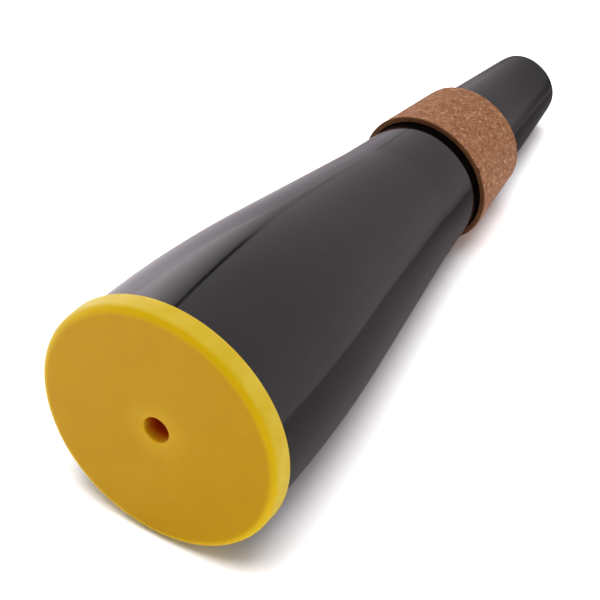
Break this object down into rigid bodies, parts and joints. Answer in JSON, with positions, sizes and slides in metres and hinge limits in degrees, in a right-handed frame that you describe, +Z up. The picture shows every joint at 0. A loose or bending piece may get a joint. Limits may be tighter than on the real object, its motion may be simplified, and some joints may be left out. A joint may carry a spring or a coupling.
{
  "type": "cornet practice mute",
  "caption": "Hollow conical practice mute with a push-on end cap, a small air vent and a cork ring that wedges in the throat of a cornet bell.",
  "frame": {"origin": "on the surface that the mute lies on, under the middle of its bounding box", "axes": "+Z up; +Y horizontal from the cap towards the neck, along the mute's length; +X to the right when facing +Y. The mute lies on the belly of its body and on the rear edge of its cork, so its own axis dips 7.6 degrees from +Y towards the floor"},
  "size_m": [0.066, 0.1778, 0.0664],
  "materials": {
    "black_shell": "polished black moulded plastic",
    "yellow_cap": "satin yellow moulded plastic, slightly translucent",
    "black_tube": "plain extruded black plastic",
    "cork": "sanded agglomerated cork"
  },
  "bodies": {
    "root": {"body_shell": "black_shell", "end_cap": "yellow_cap", "vent_tube": "black_tube", "cork_ring": "cork"}
  },
  "joints": []
}
